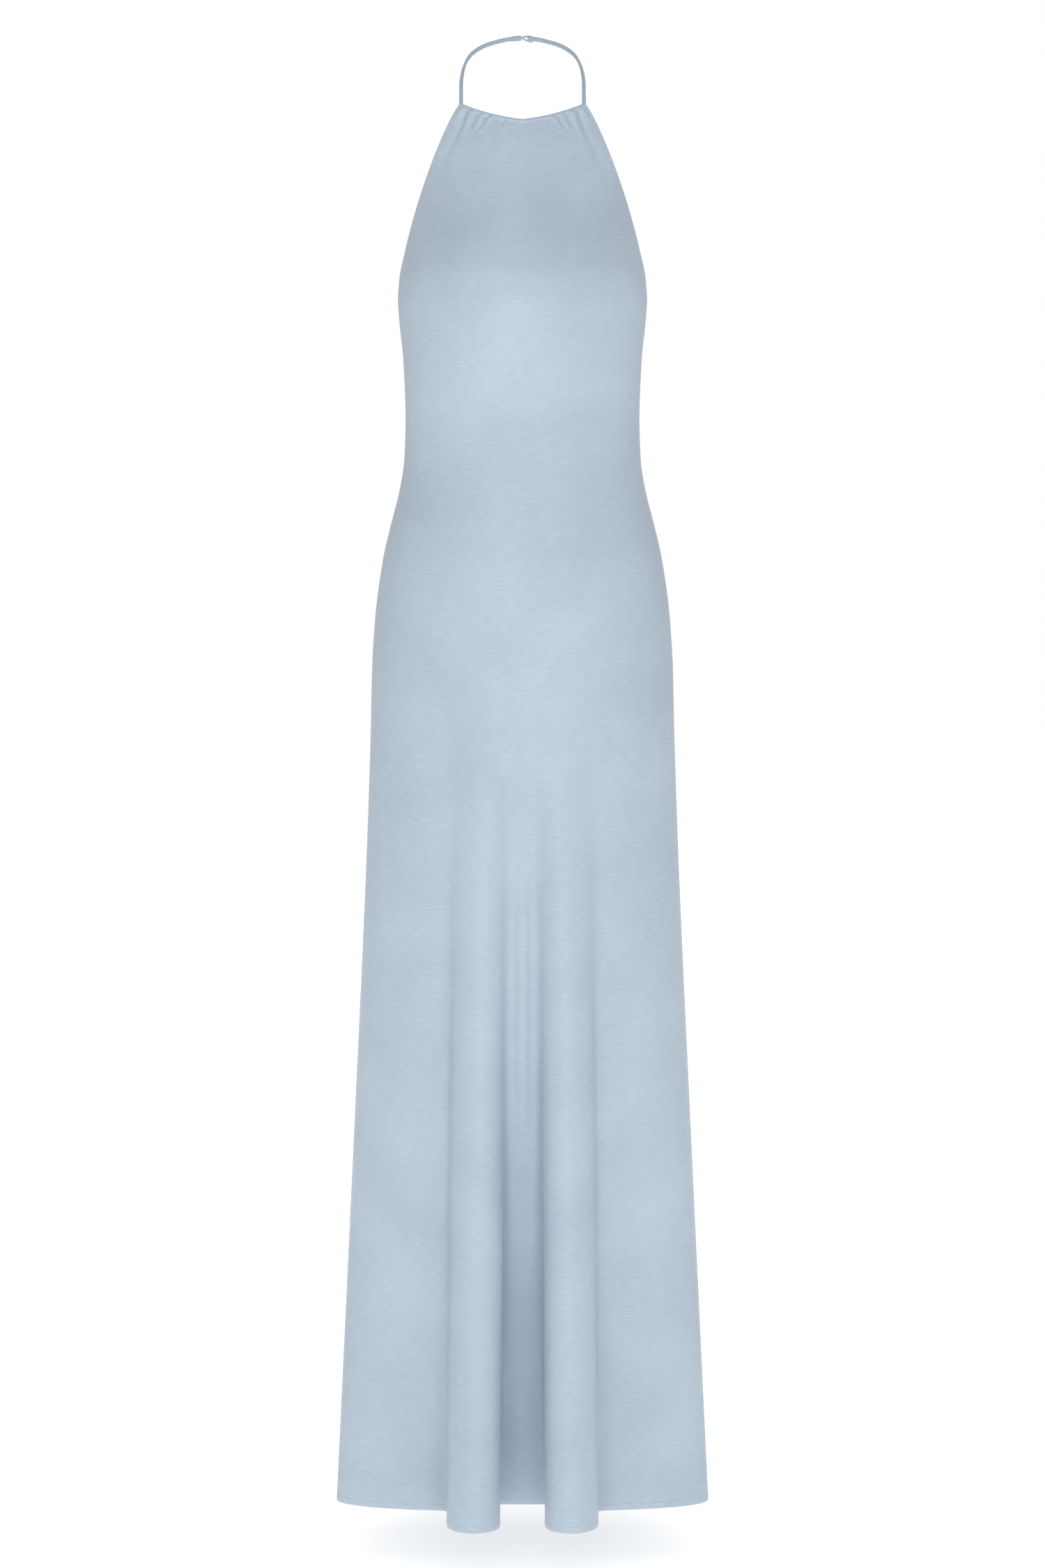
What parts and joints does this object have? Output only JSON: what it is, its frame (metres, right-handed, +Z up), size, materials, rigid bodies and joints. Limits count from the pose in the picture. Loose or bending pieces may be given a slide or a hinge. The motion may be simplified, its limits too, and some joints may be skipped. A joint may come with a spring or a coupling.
{
  "type": "halter dress",
  "caption": "Floor-length satin halter dress, hollow and filled out as if worn, with neck strap, gathered neckline, open back and deep skirt folds.",
  "frame": {"origin": "inner face of the neck strap at the nape, in the middle, where the wearer's neck holds the dress", "axes": "+Z up, -Y towards the front of the dress, +X towards the wearer's left"},
  "size_m": [0.3872, 0.3016, 1.5052],
  "materials": {
    "satin": "soft matt-backed satin, dusty pale blue",
    "satin_binding": "the same satin, cut on the bias and turned",
    "covered_button": "ball button covered in the same satin"
  },
  "bodies": {
    "root": {"front_panel": "satin", "back_panel": "satin", "neck_casing": "satin_binding", "strap_left": "satin_binding", "strap_right": "satin_binding", "button_loop": "satin_binding", "button": "covered_button"}
  },
  "joints": []
}
